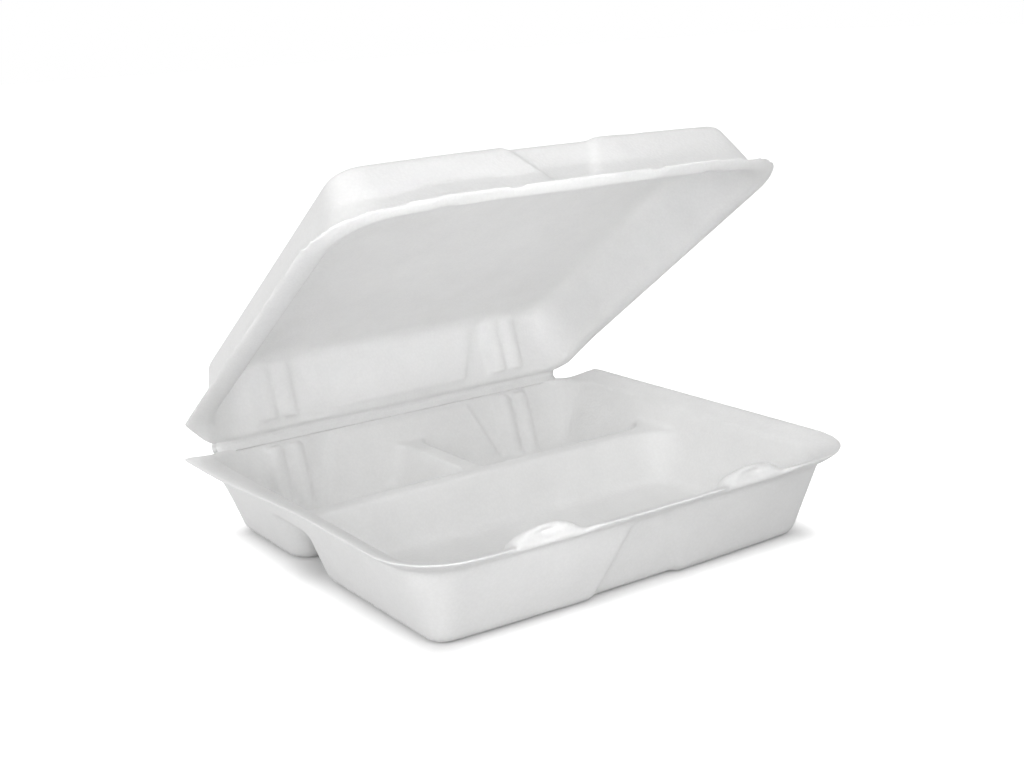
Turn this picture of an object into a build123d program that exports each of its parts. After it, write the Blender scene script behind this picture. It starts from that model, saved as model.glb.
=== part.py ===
# Hinged foam food container with three compartments, standing on the table with its lid propped open.
# Millimetres. X runs along the hinge, Y towards the hinge side, Z up from the table.
# Both halves are drawn from the hinge line: distance to the front counts as minus Y of their own plane.
import os
from math import atan2, cos, degrees, radians, tan

from build123d import *

os.makedirs("parts", exist_ok=True)

# The foam sheet
SHEET = 2.5
INSIDE_CUT = 2.2
FIT = 0.4
HINGE_GAP = 0.3

# The rim, the same for both halves
LIP_HALF = 101.5
LIP_FRONT = 187.0
BOW = 3.0
FLANGE = 11.0
FLANGE_RISE = 5.5
PAST_LIP = 2.0
LIP_RADIUS = 27.0
HINGE_CHAMFER = 15.5
HINGE_LAND = 4.5
MOUTH_HALF = LIP_HALF - FLANGE
MOUTH_FRONT = LIP_FRONT - FLANGE
MOUTH_RADIUS = LIP_RADIUS - FLANGE
MOUTH_BACK_RADIUS = 16.0

# The tray
MOUTH_Z = 32.0
HINGE_Y = 93.5
TRAY_DRAFT = 19.5
FOOT_ROUND = 6.0
RIDGE_HEIGHT = 23.0
RIDGE_DISTANCE = 76.5
RIDGE_CREST = 4.0
CREST_ROUND = 1.5
SPINE_HEIGHT = 20.0
BASIN_RADIUS = 18.0

# The lid
LID_HEIGHT = 30.0
LID_DRAFT = 16.0
LID_FORWARD = 3.5
LID_ROUND = 5.0
LID_ANGLE = 34.5

# Stiffening recesses and flutes
RECESS_DEPTH = 2.4
FRONT_RECESS_WIDE = 21.0
FRONT_RECESS_NARROW = 7.5
BACK_RECESS_WIDE = 46.0
BACK_RECESS_NARROW = 34.0
FLUTE_X = 57.5
FLUTE_PITCH = 9.0
FLUTE_RADIUS = 4.2
FLUTE_START = 3.0

# Latches: hoods on the tray's lip that stand up through slots in the lid
LATCH_X = 45.5
LATCH_WIDTH = 36.0
LATCH_DEPTH = 5.5
LATCH_FLARE = 6.0
HOOD_WIDTH = 28.0
HOOD_HEIGHT = 5.2
HOOD_REACH = 5.5
HOOD_SLOPE = 0.35
HOOD_SETBACK = 7.0
HOOD_SKIN = 1.8
HOOD_FIT = 1.0
TAB_WIDTH = 28.0
TAB_REACH = 1.5
TAB_ROOT = 3.0

hinge_z = MOUTH_Z + FIT / 2
tray_plane = Plane((0, HINGE_Y, 0))
lid_plane = Plane((0, HINGE_Y, hinge_z)).rotated((-LID_ANGLE, 0, 0))


def outline(left, right, front, back, front_radius, back_radius, bow=0.0, cut_back=False):
    """Face with its front edge bowed outwards; front and back count from the hinge line, back corners round or cut."""
    with BuildSketch() as sketch:
        with BuildLine():
            Polyline((right, -front), (right, -back), (left, -back), (left, -front))
            if bow:
                ThreePointArc((left, -front), ((left + right) / 2, -front - bow), (right, -front))
            else:
                Line((left, -front), (right, -front))
        make_face()
        fillet(sketch.vertices().group_by(Axis.Y)[0], front_radius)
        back_corners = sketch.vertices().group_by(Axis.Y)[-1]
        if cut_back:
            chamfer(back_corners, back_radius)
        else:
            fillet(back_corners, back_radius)
    return sketch.sketch


def placed(solid, plane, z, upside_down=False):
    """The solid set on a half's own plane at that height, turned over for the tray."""
    if upside_down:
        solid = mirror(solid, about=Plane.XY)
    return solid.moved(Location(plane.offset(z)))


def drafted(face, reach, draft, edge_round=0.0, edge_cut=0.0):
    """The face drawn out to that reach with sloping walls, its closed end rounded or cut."""
    with BuildPart() as solid:
        add(face)
        extrude(amount=reach, taper=draft)
        closed_end = solid.faces().sort_by(Axis.Z)[-1].edges()
        if edge_round:
            fillet(closed_end, edge_round)
        if edge_cut:
            chamfer(closed_end, edge_cut)
    return solid.part


def bowl(reach, draft, grow, edge_round=0.0, edge_cut=0.0, shift=0.0):
    """Drafted bowl standing on its mouth; shift moves front and back walls inwards."""
    half = MOUTH_HALF + grow
    face = outline(-half, half, MOUTH_FRONT + grow - shift, HINGE_LAND - grow + shift,
                   MOUTH_RADIUS + grow, MOUTH_BACK_RADIUS + grow, BOW)
    return drafted(face, reach, draft, edge_round, edge_cut)


def basins(grow, below, edge_round=0.0, edge_cut=0.0, crest_round=0.0):
    """Three basins standing on the mouth plane, joined above the ridge and above the spine between the back two."""
    depth = MOUTH_Z - SHEET + below
    lean = tan(radians(TRAY_DRAFT))
    ridge = RIDGE_CREST - (MOUTH_Z - RIDGE_HEIGHT) * lean - grow
    spine = RIDGE_CREST - (MOUTH_Z - SPINE_HEIGHT) * lean - grow
    half = MOUTH_HALF + grow
    back = HINGE_LAND - grow
    front_basin = outline(-half, half, MOUTH_FRONT + grow, RIDGE_DISTANCE + ridge,
                          MOUTH_RADIUS + grow, BASIN_RADIUS + grow, BOW)
    back_basin = outline(spine, half, RIDGE_DISTANCE - ridge, back, BASIN_RADIUS + grow, MOUTH_BACK_RADIUS + grow)
    both_back = outline(-half, half, RIDGE_DISTANCE - ridge, back, BASIN_RADIUS + grow, MOUTH_BACK_RADIUS + grow)
    back_solid = drafted(back_basin, depth, TRAY_DRAFT, edge_round, edge_cut)
    joined = bowl(MOUTH_Z - RIDGE_HEIGHT + below, TRAY_DRAFT, grow)
    joined += drafted(both_back, MOUTH_Z - SPINE_HEIGHT + below, TRAY_DRAFT)
    joined += drafted(front_basin, depth, TRAY_DRAFT, edge_round, edge_cut)
    joined = joined + back_solid + mirror(back_solid, about=Plane.YZ)
    if crest_round:
        level = MOUTH_Z - RIDGE_HEIGHT + below
        joined = fillet(joined.edges().filter_by_position(Axis.Z, level - FIT, level + FIT), crest_round)
    return joined


def recess_zone(reach):
    """Blocks that mark where the front and back walls step inwards, wide at the closed end."""
    with BuildPart() as zone:
        for wide, narrow, start, end in ((FRONT_RECESS_WIDE, FRONT_RECESS_NARROW, LIP_FRONT + SHEET, LIP_FRONT / 2),
                                         (BACK_RECESS_WIDE, BACK_RECESS_NARROW, LIP_FRONT / 4, -FLANGE)):
            with BuildSketch(Plane((0, -end, 0), x_dir=(1, 0, 0), z_dir=(0, -1, 0))):
                Polygon((-wide, reach), (wide, reach), (narrow, SHEET), (-narrow, SHEET), align=None)
            extrude(amount=start - end)
    return zone.part


def flutes(reach, draft):
    """Two pairs of round bars lying up the back wall."""
    lean = tan(radians(draft))
    axis = Vector(0, -lean, 1)
    with BuildPart() as bars:
        for x in (-FLUTE_X, FLUTE_X):
            for step in (-FLUTE_PITCH / 2, FLUTE_PITCH / 2):
                start = Vector(x + step, -HINGE_LAND, 0) + axis * FLUTE_START
                with BuildSketch(Plane(start, z_dir=axis)):
                    Circle(FLUTE_RADIUS)
        extrude(amount=reach * axis.length)
    return bars.part


def recessed(plain, reach, draft, grow, edge_round=0.0, edge_cut=0.0):
    """The bowl or basins with the front and back walls stepped inwards at the recesses."""
    stepped = bowl(reach, draft, grow, edge_round, edge_cut, RECESS_DEPTH)
    return plain - (recess_zone(reach + SHEET) - stepped)


def flange_space():
    """Space over the flange, from the mouth up and out past the lip and on past the hinge."""
    out = PAST_LIP * FLANGE
    half = MOUTH_HALF + out
    with BuildPart() as space:
        add(outline(-half, half, MOUTH_FRONT + out, -2 * out, MOUTH_RADIUS + out, MOUTH_BACK_RADIUS + out, BOW))
        extrude(amount=PAST_LIP * FLANGE_RISE, taper=degrees(atan2(FLANGE, FLANGE_RISE)))
    return mirror(space.part, about=Plane.XY).moved(Location((0, 0, PAST_LIP * FLANGE_RISE)))


def latch_places():
    """Middle of each latch: its X and the lip's place there, in a half's own plane."""
    return [(x, -LIP_FRONT - BOW * (1 - (x / LIP_HALF) ** 2)) for x in (-LATCH_X, LATCH_X)]


def hood_form(width, height, reach, root):
    """Half-moon drawn out to the back and cut off on a slope: the bulge of a latch hood, open at the front."""
    with BuildPart() as form:
        with BuildSketch(Plane((0, 0, 0), x_dir=(-1, 0, 0), z_dir=(0, 1, 0))):
            with BuildLine():
                ThreePointArc((-width / 2, 0), (0, height), (width / 2, 0))
                if root:
                    Polyline((width / 2, 0), (width / 2, -root), (-width / 2, -root), (-width / 2, 0))
                else:
                    Line((width / 2, 0), (-width / 2, 0))
            make_face()
        extrude(amount=reach)
        with BuildSketch(Plane.YZ):
            Polygon((0, -root), (reach, -root), (reach, 0), (reach * HOOD_SLOPE, height), (0, height), align=None)
        extrude(amount=width, both=True, mode=Mode.INTERSECT)
    return form.part


def trim_block(height):
    """Punch outline of the rim, cut square through the sheet."""
    with BuildPart() as block:
        add(outline(-LIP_HALF, LIP_HALF, LIP_FRONT, HINGE_GAP / 2, LIP_RADIUS, HINGE_CHAMFER, BOW, True))
        extrude(amount=height)
    return block.part


# Tray forms: food side and table side of the same sheet, with an open channel under each divider
tray_wall = SHEET / cos(radians(TRAY_DRAFT))
tray_air = recessed(basins(0, 0, 0, INSIDE_CUT, CREST_ROUND), MOUTH_Z - SHEET, TRAY_DRAFT, 0, 0, INSIDE_CUT)
tray_air = placed(tray_air - flutes(MOUTH_Z, TRAY_DRAFT), tray_plane, MOUTH_Z, True)
tray_out = recessed(basins(tray_wall, SHEET, FOOT_ROUND), MOUTH_Z, TRAY_DRAFT, tray_wall, FOOT_ROUND)
tray_out = placed(tray_out, tray_plane, MOUTH_Z, True)
flange = flange_space()
over_flange = placed(flange, tray_plane, MOUTH_Z)
over_table_side = placed(flange, tray_plane, MOUTH_Z - SHEET) + tray_out

# Latch hoods: bulges over the flange, open to the front
hood_z = MOUTH_Z + FLANGE_RISE * (1 - HOOD_SETBACK / FLANGE)
hood_outside = hood_form(HOOD_WIDTH, HOOD_HEIGHT, HOOD_REACH, SHEET)
hood_inside = hood_form(HOOD_WIDTH - 2 * HOOD_SKIN, HOOD_HEIGHT - HOOD_SKIN, HOOD_REACH - HOOD_SKIN, 0.0)
hood_slot = hood_form(HOOD_WIDTH + 2 * HOOD_FIT, HOOD_HEIGHT + HOOD_FIT, HOOD_REACH + 2 * HOOD_FIT, SHEET)
hood_slot = hood_slot.moved(Location((0, -HOOD_FIT, 0)))
hood = hood_outside - hood_inside

with BuildPart() as base_tray:
    add(over_table_side)
    add(over_flange, mode=Mode.SUBTRACT)
    add(tray_out)
    add(tray_air, mode=Mode.SUBTRACT)
    add(placed(trim_block(MOUTH_Z + 2 * FLANGE_RISE), tray_plane, 0), mode=Mode.INTERSECT)
    for x, lip in latch_places():
        w = LATCH_WIDTH / 2
        with BuildSketch(tray_plane):
            Polygon((x - w - LATCH_FLARE, lip - LATCH_FLARE), (x + w + LATCH_FLARE, lip - LATCH_FLARE),
                    (x + w - LATCH_DEPTH, lip + LATCH_DEPTH), (x - w + LATCH_DEPTH, lip + LATCH_DEPTH), align=None)
        extrude(amount=MOUTH_Z + 2 * FLANGE_RISE, mode=Mode.SUBTRACT)
        add(hood.moved(Location((x, HINGE_Y + lip + HOOD_SETBACK, hood_z))) & over_table_side)
base_tray.part.label = "base_tray"
export_step(base_tray.part, "parts/base_tray.step")

# Lid forms: inside and outside of the same sheet, drawn at the angle it is propped to
lid_mouth = FIT / 2
lid_foot = lid_mouth + SHEET
lid_wall = SHEET / cos(radians(LID_DRAFT)) - SHEET * tan(radians(LID_DRAFT))
forward = Location((0, -LID_FORWARD, 0))
inside_reach = LID_HEIGHT - SHEET - lid_mouth
lid_air = recessed(bowl(inside_reach, LID_DRAFT, 0, 0, INSIDE_CUT), inside_reach, LID_DRAFT, 0, 0, INSIDE_CUT)
lid_air = placed((lid_air - flutes(LID_HEIGHT, LID_DRAFT)).moved(forward), lid_plane, lid_mouth)
outside_reach = LID_HEIGHT - lid_foot
lid_out = recessed(bowl(outside_reach, LID_DRAFT, lid_wall, LID_ROUND), outside_reach, LID_DRAFT, lid_wall, LID_ROUND)
lid_out = placed(lid_out.moved(forward), lid_plane, lid_foot)
lid_trim = placed(trim_block(LID_HEIGHT), lid_plane, 0)
for x, lip in latch_places():
    with BuildPart() as tab:
        with BuildSketch(lid_plane):
            Polygon((x - TAB_WIDTH / 2, lip + TAB_ROOT), (x + TAB_WIDTH / 2, lip + TAB_ROOT),
                    (x + TAB_WIDTH / 2 - TAB_REACH, lip - TAB_REACH),
                    (x - TAB_WIDTH / 2 + TAB_REACH, lip - TAB_REACH), align=None)
        extrude(amount=LID_HEIGHT)
    lid_trim += tab.part

with BuildPart() as lid:
    add(placed(flange, lid_plane, lid_mouth))
    add(placed(flange, lid_plane, lid_foot), mode=Mode.SUBTRACT)
    add(lid_out)
    add(lid_air, mode=Mode.SUBTRACT)
    add(lid_trim, mode=Mode.INTERSECT)
    for x, lip in latch_places():
        slot_place = Location((x, lip + HOOD_SETBACK, hood_z - hinge_z))
        add(hood_slot.moved(Location(lid_plane) * slot_place), mode=Mode.SUBTRACT)
lid.part.label = "lid"
export_step(lid.part, "parts/lid.step")
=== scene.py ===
import math

import bmesh
import bpy
import numpy as np
from mathutils import Matrix, Vector


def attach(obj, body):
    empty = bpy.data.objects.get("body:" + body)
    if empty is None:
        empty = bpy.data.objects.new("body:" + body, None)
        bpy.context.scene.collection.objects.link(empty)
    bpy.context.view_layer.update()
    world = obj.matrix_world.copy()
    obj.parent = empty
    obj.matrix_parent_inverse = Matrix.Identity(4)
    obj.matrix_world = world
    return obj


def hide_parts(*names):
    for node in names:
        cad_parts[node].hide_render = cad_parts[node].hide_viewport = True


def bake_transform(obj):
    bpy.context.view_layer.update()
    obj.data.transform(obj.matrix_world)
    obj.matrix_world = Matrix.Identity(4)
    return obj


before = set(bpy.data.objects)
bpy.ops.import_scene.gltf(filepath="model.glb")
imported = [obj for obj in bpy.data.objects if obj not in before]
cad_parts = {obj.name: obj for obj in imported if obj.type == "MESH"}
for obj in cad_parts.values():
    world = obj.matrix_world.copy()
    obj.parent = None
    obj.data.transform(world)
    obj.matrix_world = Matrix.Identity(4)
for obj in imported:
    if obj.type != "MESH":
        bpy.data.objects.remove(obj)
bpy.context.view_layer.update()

# Tray: lower half of the box, one thermoformed sheet of white expanded polystyrene foam.
# Heated sheet is pressed between two tools, so every bend is soft and the skin shows fine cells.
# The softened skin below stands for the tray's solid and rides on it.
SKIN_STEP = 0.00125
SKIN_ROUNDS = 3
WELD = 0.00001
SETTLE = 0.5
HINGE = Vector((0.0, 0.0935, 0.0322))
LIP_HALF = 0.1015
LIP_FRONT = 0.187
LIP_RADIUS = 0.027
LIP_BOW = 0.003
LIP_EDGE = (0.001, 0.005)  # each pair: where a change along the skin begins, and where it is complete
LIP_PINCH = 0.0005
TRAY_LIP_ROUNDS = 14
FLANGE = 0.011
DROOP_SLOPE = 0.42
DROOP_RUN = (-0.030, 0.065)
EAR_REACH = 0.012
EAR_SIDE = (0.086, 0.1005)
EAR_RUN = (0.055, 0.078)
HOOD_X = 0.0455
HOOD_SIDE = (0.018, 0.024)
HOOD_RUN = (-0.078, -0.070)
HOOD_SEAT = 0.036
HOOD_LEFT = 0.95


def soften(points, edges, share, rounds):
    """Let the points settle between their neighbours, as heat relaxes a pressed bend."""
    count = np.bincount(edges.ravel(), minlength=len(points))
    for _ in range(rounds):
        middle = np.empty_like(points)
        for axis in range(points.shape[1]):
            place = points[:, axis]
            middle[:, axis] = (np.bincount(edges[:, 0], place[edges[:, 1]], len(points))
                               + np.bincount(edges[:, 1], place[edges[:, 0]], len(points))) / count
        points = points + SETTLE * share[:, None] * (middle - points)
    return points


def ease(start, end, value):
    """Smooth step from 0 at start to 1 at end."""
    t = np.clip((value - start) / (end - start), 0.0, 1.0)
    return t * t * (3.0 - 2.0 * t)


def inside_lip(points):
    """Distance of each point inside the rounded outline of the lip, seen from above with the lip level."""
    over = np.abs(points[:, 0]) - (LIP_HALF - LIP_RADIUS)
    bow = LIP_BOW / LIP_FRONT * (1.0 - (points[:, 0] / LIP_HALF) ** 2)
    reach = (HINGE.y - points[:, 1]) * (1.0 - bow)
    along = np.abs(reach - LIP_FRONT / 2) - (LIP_FRONT / 2 - LIP_RADIUS)
    corner = np.hypot(np.maximum(over, 0.0), np.maximum(along, 0.0))
    return LIP_RADIUS - corner - np.minimum(np.maximum(over, along), 0.0)


def formed_skin(node, name, turn, relax):
    """Closed skin over a CAD node with the soft bends of pressed foam; it is worked with the lip level."""
    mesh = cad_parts[node].data.copy()
    mesh.transform(turn)
    weld = bmesh.new()
    weld.from_mesh(mesh)
    bmesh.ops.remove_doubles(weld, verts=weld.verts, dist=WELD)
    weld.to_mesh(mesh)
    weld.free()
    skin = bpy.data.objects.new(name, mesh)
    bpy.context.collection.objects.link(skin)
    remesh = skin.modifiers.new("skin", "REMESH")
    remesh.mode = "VOXEL"
    remesh.voxel_size = SKIN_STEP
    bpy.context.view_layer.update()
    shaped = bpy.data.meshes.new_from_object(skin.evaluated_get(bpy.context.evaluated_depsgraph_get()))
    skin.modifiers.clear()
    skin.data = shaped
    points = np.empty(len(shaped.vertices) * 3)
    shaped.vertices.foreach_get("co", points)
    edges = np.empty(len(shaped.edges) * 2, dtype=np.int64)
    shaped.edges.foreach_get("vertices", edges)
    points, edges = points.reshape(-1, 3), edges.reshape(-1, 2)
    points = soften(points, edges, np.ones(len(points)), SKIN_ROUNDS)
    shaped.vertices.foreach_set("co", points.ravel())
    facing = np.empty(len(points) * 3)
    shaped.vertex_normals.foreach_get("vector", facing)
    points = relax(points, edges, facing.reshape(-1, 3))
    shaped.vertices.foreach_set("co", points.ravel())
    shaped.transform(turn.inverted())
    shaped.materials.clear()
    shaped.shade_smooth()
    return skin


def relaxed_tray(points, edges, facing):
    """Tray: the lip is smooth along its edge, hangs towards the hinge on the left, and the hoods are pressed low."""
    lip = 1.0 - ease(*LIP_EDGE, inside_lip(points))
    points = soften(points - facing * LIP_PINCH * lip[:, None], edges, lip, TRAY_LIP_ROUNDS)
    x, y, z = points.T
    hood = (1.0 - ease(*HOOD_SIDE, np.abs(np.abs(x) - HOOD_X))) * (1.0 - ease(*HOOD_RUN, y))
    z = z - hood * (1.0 - HOOD_LEFT) * np.maximum(z - HOOD_SEAT, 0.0)
    z = z - np.maximum(-x - (LIP_HALF - FLANGE), 0.0) * DROOP_SLOPE * ease(*DROOP_RUN, y)
    y = y + EAR_REACH * ease(*EAR_SIDE, -x) * ease(*EAR_RUN, y)
    return np.column_stack((x, y, z))


FOAM_SHADED = (0.900, 0.900, 0.897, 1)
FOAM_WHITE = (0.935, 0.935, 0.932, 1)
FOAM_ROUGHNESS = (0.46, 0.62)
FOAM_IOR = 1.45
FOAM_GLOSS = 0.25
CELL_SCALE = 900.0
CELL_WIDTH = 0.75
CELL_DARKEST = 0.965
CELL_SINK = -0.6
CLOUD_SCALE = 60.0
CLOUD_DETAIL = 4.0
CLOUD_ROUGHNESS = 0.55
CLOUD_SPAN = (0.3, 0.7)
BUMP_STRENGTH = 0.35
BUMP_DEPTH = 0.00025


def foam_cells_group():
    """Foam skin: fine cells, flattened beads and a faint cloudiness, as colour, roughness and height."""
    group = bpy.data.node_groups.new("foam cells", "ShaderNodeTree")
    for label, value in (("Cell Scale", CELL_SCALE), ("Cloud Scale", CLOUD_SCALE)):
        socket = group.interface.new_socket(label, in_out="INPUT", socket_type="NodeSocketFloat")
        socket.default_value = value
    for label, kind in (("Colour", "NodeSocketColor"), ("Roughness", "NodeSocketFloat"),
                        ("Height", "NodeSocketFloat")):
        group.interface.new_socket(label, in_out="OUTPUT", socket_type=kind)
    nodes, links = group.nodes, group.links
    inlet = nodes.new("NodeGroupInput")
    outlet = nodes.new("NodeGroupOutput")
    place = nodes.new("ShaderNodeTexCoord")
    cells = nodes.new("ShaderNodeTexVoronoi")
    cells.feature = "F1"
    links.new(place.outputs["Object"], cells.inputs["Vector"])
    links.new(inlet.outputs["Cell Scale"], cells.inputs["Scale"])
    cloud = nodes.new("ShaderNodeTexNoise")
    cloud.inputs["Detail"].default_value = CLOUD_DETAIL
    cloud.inputs["Roughness"].default_value = CLOUD_ROUGHNESS
    links.new(place.outputs["Object"], cloud.inputs["Vector"])
    links.new(inlet.outputs["Cloud Scale"], cloud.inputs["Scale"])
    tint = nodes.new("ShaderNodeValToRGB")
    for stop, position, colour in zip(tint.color_ramp.elements, CLOUD_SPAN, (FOAM_SHADED, FOAM_WHITE)):
        stop.position = position
        stop.color = colour
    links.new(cloud.outputs["Fac"], tint.inputs["Fac"])
    speck = nodes.new("ShaderNodeMapRange")
    speck.inputs["From Max"].default_value = CELL_WIDTH
    speck.inputs["To Min"].default_value = 1.0
    speck.inputs["To Max"].default_value = CELL_DARKEST
    links.new(cells.outputs["Distance"], speck.inputs["Value"])
    specked = nodes.new("ShaderNodeMix")
    specked.data_type = "RGBA"
    specked.blend_type = "MULTIPLY"
    specked.inputs["Factor"].default_value = 1.0
    links.new(tint.outputs["Color"], specked.inputs["A"])
    links.new(speck.outputs["Result"], specked.inputs["B"])
    links.new(specked.outputs["Result"], outlet.inputs["Colour"])
    rough = nodes.new("ShaderNodeMapRange")
    rough.inputs["To Min"].default_value, rough.inputs["To Max"].default_value = FOAM_ROUGHNESS
    links.new(cloud.outputs["Fac"], rough.inputs["Value"])
    links.new(rough.outputs["Result"], outlet.inputs["Roughness"])
    height = nodes.new("ShaderNodeMath")
    height.operation = "MULTIPLY_ADD"
    height.inputs[1].default_value = CELL_SINK
    links.new(cells.outputs["Distance"], height.inputs[0])
    links.new(cloud.outputs["Fac"], height.inputs[2])
    links.new(height.outputs["Value"], outlet.inputs["Height"])
    return group


foam_cells = foam_cells_group()


def foam_material(name, cell_scale, cloud_scale, bump_depth):
    """White foam with a satin skin."""
    material = bpy.data.materials.new(name)
    material.use_nodes = True
    nodes, links = material.node_tree.nodes, material.node_tree.links
    skin = nodes["Principled BSDF"]
    skin.inputs["IOR"].default_value = FOAM_IOR
    skin.inputs["Specular IOR Level"].default_value = FOAM_GLOSS
    cells = nodes.new("ShaderNodeGroup")
    cells.node_tree = foam_cells
    cells.inputs["Cell Scale"].default_value = cell_scale
    cells.inputs["Cloud Scale"].default_value = cloud_scale
    links.new(cells.outputs["Colour"], skin.inputs["Base Color"])
    links.new(cells.outputs["Roughness"], skin.inputs["Roughness"])
    bump = nodes.new("ShaderNodeBump")
    bump.inputs["Strength"].default_value = BUMP_STRENGTH
    bump.inputs["Distance"].default_value = bump_depth
    links.new(cells.outputs["Height"], bump.inputs["Height"])
    links.new(bump.outputs["Normal"], skin.inputs["Normal"])
    return material


tray = formed_skin("base_tray", "tray_skin", Matrix.Identity(4), relaxed_tray)
tray.data.materials.append(foam_material("white foam of the tray", CELL_SCALE, CLOUD_SCALE, BUMP_DEPTH))
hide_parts("base_tray")
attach(tray, "tray")

# Lid: upper half of the same foam sheet, formed in the same stroke beside the tray.
# It is as soft at its bends as the tray and turns on the fold behind it.
LID_OPEN = math.radians(34.5)
LID_HEIGHT = 0.030
LID_LIP_ROUNDS = 16
FLANGE_LIFT = 0.0034
LIFT_RUN = (0.004, 0.030)
BEND_ROUNDS = 60
BEND_FEATHER = 3
BEND_START = (0.004, 0.008)
BEND_END = (0.020, 0.030)
BEND_RUN = (0.010, 0.026)
INNER_FACE = (-0.1, 0.1)


def relaxed_lid(points, edges, facing):
    """Lid: the flange lies flatter and runs into the wall in one wide soft bend; the lip is smooth along its edge."""
    depth = inside_lip(points)
    height = np.clip((points[:, 2] - HINGE.z) / LID_HEIGHT, 0.0, 1.0)
    off_hinge = HINGE.y - points[:, 1]
    points[:, 2] += FLANGE_LIFT * np.clip(depth / FLANGE, 0.0, 1.0) * (1.0 - height) * ease(*LIFT_RUN, off_hinge)
    inward = -(facing * points).sum(axis=1) / np.linalg.norm(points, axis=1)
    bend = ease(*INNER_FACE, inward) * ease(*BEND_START, depth) * (1.0 - ease(*BEND_END, depth))
    bend = soften((bend * ease(*BEND_RUN, off_hinge))[:, None], edges, np.ones(len(points)), BEND_FEATHER)[:, 0]
    points = soften(points, edges, bend, BEND_ROUNDS)
    lip = 1.0 - ease(*LIP_EDGE, depth)
    return soften(points - facing * LIP_PINCH * lip[:, None], edges, lip, LID_LIP_ROUNDS)


lip_level = Matrix.Translation(HINGE) @ Matrix.Rotation(LID_OPEN, 4, "X") @ Matrix.Translation(-HINGE)
lid = formed_skin("lid", "lid_skin", lip_level, relaxed_lid)
lid.data.materials.append(foam_material("white foam of the lid", CELL_SCALE, CLOUD_SCALE, BUMP_DEPTH))
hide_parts("lid")
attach(lid, "lid")

# Fold: the strip between both halves where the foam sheet is pinched thin so that it bends.
# It is bent round the hinge line from the tray to the lid as the lid stands open.
# One strip closes the back; the other is the crease seen from inside, let into both halves.
FOLD_HALF = 0.0855
FOLD_STEPS = 12
FOLD_COLUMNS = 60
FOLD_CELL_SCALE = 1200.0
FOLD_CLOUD_SCALE = 90.0
FOLD_BUMP_DEPTH = 0.00015
BACK_FROM, BACK_TO = math.radians(-90.0), math.radians(55.5)
BACK_OUTER, BACK_INNER = 0.0022, 0.0009
CREASE_FROM, CREASE_TO = math.radians(196.0), math.radians(129.5)
CREASE_EDGE, CREASE_DEEP, CREASE_SKIN = 0.0056, 0.0030, 0.0007

fold_foam = foam_material("pinched foam of the fold", FOLD_CELL_SCALE, FOLD_CLOUD_SCALE, FOLD_BUMP_DEPTH)


def round_hinge(x, distance, turn):
    """Point at a distance from the hinge line; a turn of 0 points to the rear and a quarter turn up."""
    return HINGE + Vector((x, distance * math.cos(turn), distance * math.sin(turn)))


def crease_front(part):
    """Distance of the crease's open face from the hinge line: nearest half way, out in both halves at its ends."""
    return CREASE_DEEP + (CREASE_EDGE - CREASE_DEEP) * (2 * part - 1) ** 2


def fold_strip(name, start, end, front, rear):
    """Bent strip round the hinge line between two turns; front and rear give its two faces as distances."""
    shape = bmesh.new()
    rings = []
    for column in range(FOLD_COLUMNS + 1):
        x = -FOLD_HALF + 2 * FOLD_HALF * column / FOLD_COLUMNS
        ring = []
        for face, steps in ((front, range(FOLD_STEPS + 1)), (rear, range(FOLD_STEPS, -1, -1))):
            for step in steps:
                part = step / FOLD_STEPS
                ring.append(shape.verts.new(round_hinge(x, face(part), start + (end - start) * part)))
        rings.append(ring)
    count = len(rings[0])
    for near, far in zip(rings, rings[1:]):
        for i in range(count):
            shape.faces.new((near[i], near[(i + 1) % count], far[(i + 1) % count], far[i]))
    shape.faces.new(rings[0][::-1])
    shape.faces.new(rings[-1])
    bmesh.ops.recalc_face_normals(shape, faces=shape.faces)
    mesh = bpy.data.meshes.new(name)
    shape.to_mesh(mesh)
    shape.free()
    mesh.shade_smooth()
    strip = bpy.data.objects.new(name, mesh)
    bpy.context.collection.objects.link(strip)
    strip.data.materials.append(fold_foam)
    round_hinge(0, front(0), start)
    round_hinge(0, front(1), end)
    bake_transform(strip)


fold_strip("fold_back", BACK_FROM, BACK_TO, lambda part: BACK_OUTER, lambda part: BACK_INNER)
fold_strip("fold_crease", CREASE_FROM, CREASE_TO, crease_front, lambda part: crease_front(part) - CREASE_SKIN)

# Studio: a white sweep under the box, even white surroundings, four wide soft lamps round it and
# one small lamp low in front, turned into the mouth of the box.
# The floor glows white to the camera away from the tray; near its foot the glow fades out, a painted shade round the
# tray on top of the real soft shadow under it.
FLOOR_SIZE = 12
FLOOR_ROUGHNESS = 0.9
FLOOR_GLOSS = 0.1
FLOOR_WHITE = 0.95
FLOOR_BOUNCE = 0.5
# Painted shade: near the tray's foot the floor's white glow to the camera falls to this strength, and rises to full
# white across the reach below.
FLOOR_GLOW_IN_PAINTED_SHADE = 0.05
FOOT_HALF = (0.078, 0.072, 0.0)
PAINTED_SHADE_REACH = 0.026
SURROUND = 0.40
WHITE = (1, 1, 1, 1)
BOX_MIDDLE = (0, 0, 0.06)
BOX_MOUTH = (0, 0.02, 0.11)


def looked_at(nodes, links):
    """Output that is 1 where the camera sees a surface, straight, in a gloss or through clear stuff, and else 0."""
    ray = nodes.new("ShaderNodeLightPath")
    seen = ray.outputs["Is Camera Ray"]
    for kind in ("Is Glossy Ray", "Is Transmission Ray"):
        either = nodes.new("ShaderNodeMath")
        either.operation = "MAXIMUM"
        links.new(seen, either.inputs[0])
        links.new(ray.outputs[kind], either.inputs[1])
        seen = either.outputs["Value"]
    return seen


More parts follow.
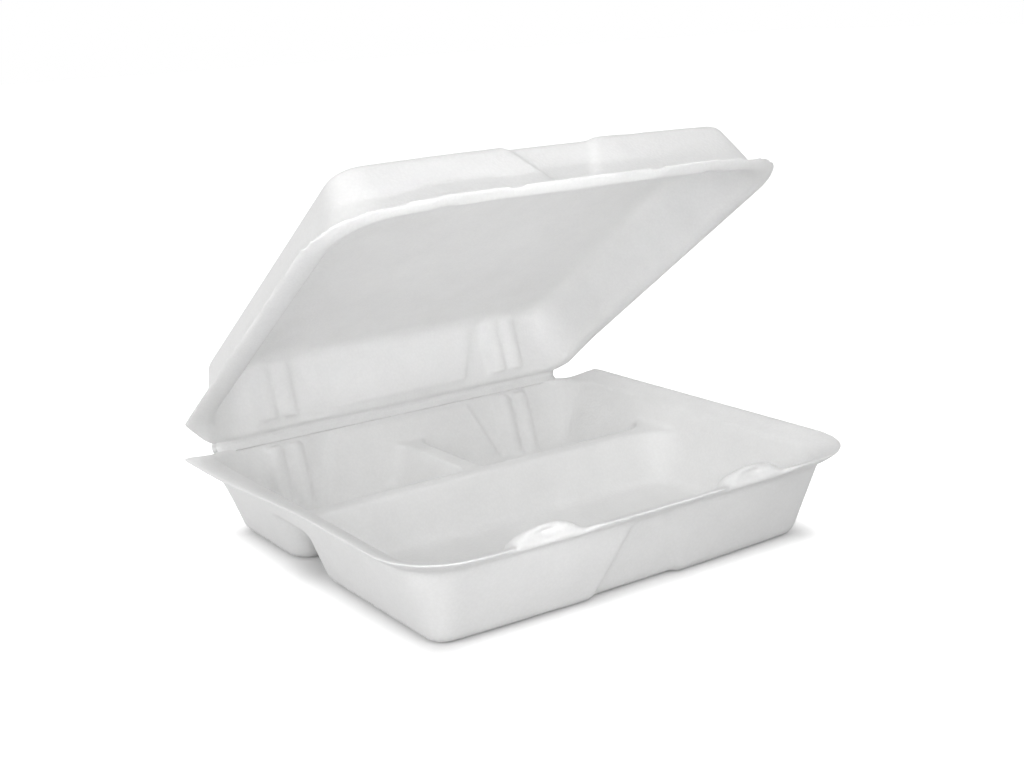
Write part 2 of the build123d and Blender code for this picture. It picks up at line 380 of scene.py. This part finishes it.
bpy.ops.mesh.primitive_plane_add(size=FLOOR_SIZE)
floor = bpy.context.object
floor.name = "floor"
floor_paint = bpy.data.materials.new("white floor")
floor_paint.use_nodes = True
nodes, links = floor_paint.node_tree.nodes, floor_paint.node_tree.links
paint = nodes["Principled BSDF"]
paint.inputs["Roughness"].default_value = FLOOR_ROUGHNESS
paint.inputs["Specular IOR Level"].default_value = FLOOR_GLOSS
paint.inputs["Emission Color"].default_value = WHITE
floor_seen = looked_at(nodes, links)
white = nodes.new("ShaderNodeMapRange")
white.inputs["To Min"].default_value = FLOOR_BOUNCE
white.inputs["To Max"].default_value = FLOOR_WHITE
links.new(floor_seen, white.inputs["Value"])
links.new(white.outputs["Result"], paint.inputs["Base Color"])
# Painted shade: the floor's glow to the camera fades from full white away from the tray to almost none at its foot,
# so a darker band is painted round the tray.
spot = nodes.new("ShaderNodeTexCoord")
sideways = nodes.new("ShaderNodeVectorMath")
sideways.operation = "ABSOLUTE"
links.new(spot.outputs["Object"], sideways.inputs[0])
past_foot = nodes.new("ShaderNodeVectorMath")
past_foot.operation = "SUBTRACT"
past_foot.inputs[1].default_value = FOOT_HALF
links.new(sideways.outputs["Vector"], past_foot.inputs[0])
off_foot = nodes.new("ShaderNodeVectorMath")
off_foot.operation = "MAXIMUM"
off_foot.inputs[1].default_value = (0, 0, 0)
links.new(past_foot.outputs["Vector"], off_foot.inputs[0])
away = nodes.new("ShaderNodeVectorMath")
away.operation = "LENGTH"
links.new(off_foot.outputs["Vector"], away.inputs[0])
sweep = nodes.new("ShaderNodeMapRange")
sweep.interpolation_type = "SMOOTHSTEP"
sweep.inputs["From Max"].default_value = PAINTED_SHADE_REACH
sweep.inputs["To Min"].default_value = FLOOR_GLOW_IN_PAINTED_SHADE
links.new(away.outputs["Value"], sweep.inputs["Value"])
lift = nodes.new("ShaderNodeMath")
lift.operation = "MULTIPLY"
links.new(floor_seen, lift.inputs[0])
links.new(sweep.outputs["Result"], lift.inputs[1])
links.new(lift.outputs["Value"], paint.inputs["Emission Strength"])
floor.data.materials.append(floor_paint)

world = bpy.data.worlds.new("surround")
bpy.context.scene.world = world
world.use_nodes = True
nodes, links = world.node_tree.nodes, world.node_tree.links
backdrop = nodes["Background"]
backdrop.inputs["Color"].default_value = WHITE
glow = nodes.new("ShaderNodeMapRange")
glow.inputs["To Min"].default_value = SURROUND
links.new(looked_at(nodes, links), glow.inputs["Value"])
links.new(glow.outputs["Result"], backdrop.inputs["Strength"])

for name, place, aim, size, watts, spread in (
        ("front_lamp", (-0.15, -1.05, 0.85), BOX_MIDDLE, 0.9, 4.8, 180),
        ("low_lamp", (-0.55, -1.05, 0.15), BOX_MIDDLE, 0.6, 2.2, 180),
        ("left_lamp", (-1.25, -0.10, 0.35), BOX_MIDDLE, 0.9, 6.0, 180),
        ("back_lamp", (0.10, 0.75, 1.00), BOX_MIDDLE, 0.9, 3.0, 180),
        ("mouth_lamp", (-0.20, -0.55, 0.02), BOX_MOUTH, 0.12, 0.058, 30)):
    lamp_data = bpy.data.lights.new(name, "AREA")
    lamp_data.shape = "SQUARE"
    lamp_data.size = size
    lamp_data.energy = watts
    lamp_data.spread = math.radians(spread)
    lamp = bpy.data.objects.new(name, lamp_data)
    lamp.location = place
    lamp.rotation_euler = (Vector(aim) - lamp.location).to_track_quat("-Z", "Y").to_euler()
    lamp.visible_camera = False
    bpy.context.collection.objects.link(lamp)

# Camera: stands at the front left of the box, a little above its lip, tilted slightly,
# as the picture was taken.
CAMERA_PLACE = Vector((-0.30015, -0.45833, 0.2012))
CAMERA_AZIMUTH = math.radians(-33.4)
CAMERA_ELEVATION = math.radians(14.37)
CAMERA_ROLL = math.radians(-3.03)
SENSOR_WIDTH = 36.0
LENS = 51.26

back = Vector((math.sin(CAMERA_AZIMUTH) * math.cos(CAMERA_ELEVATION),
               -math.cos(CAMERA_AZIMUTH) * math.cos(CAMERA_ELEVATION),
               math.sin(CAMERA_ELEVATION)))
right = Vector((math.cos(CAMERA_AZIMUTH), math.sin(CAMERA_AZIMUTH), 0))
up = back.cross(right)
turned_right = right * math.cos(CAMERA_ROLL) + up * math.sin(CAMERA_ROLL)
turned_up = up * math.cos(CAMERA_ROLL) - right * math.sin(CAMERA_ROLL)
camera_data = bpy.data.cameras.new("camera")
camera_data.sensor_width = SENSOR_WIDTH
camera_data.lens = LENS
camera = bpy.data.objects.new("camera", camera_data)
camera.matrix_world = Matrix((turned_right, turned_up, back)).transposed().to_4x4()
camera.location = CAMERA_PLACE
bpy.context.collection.objects.link(camera)
bpy.context.scene.camera = camera
bpy.context.scene.view_settings.view_transform = "Standard"
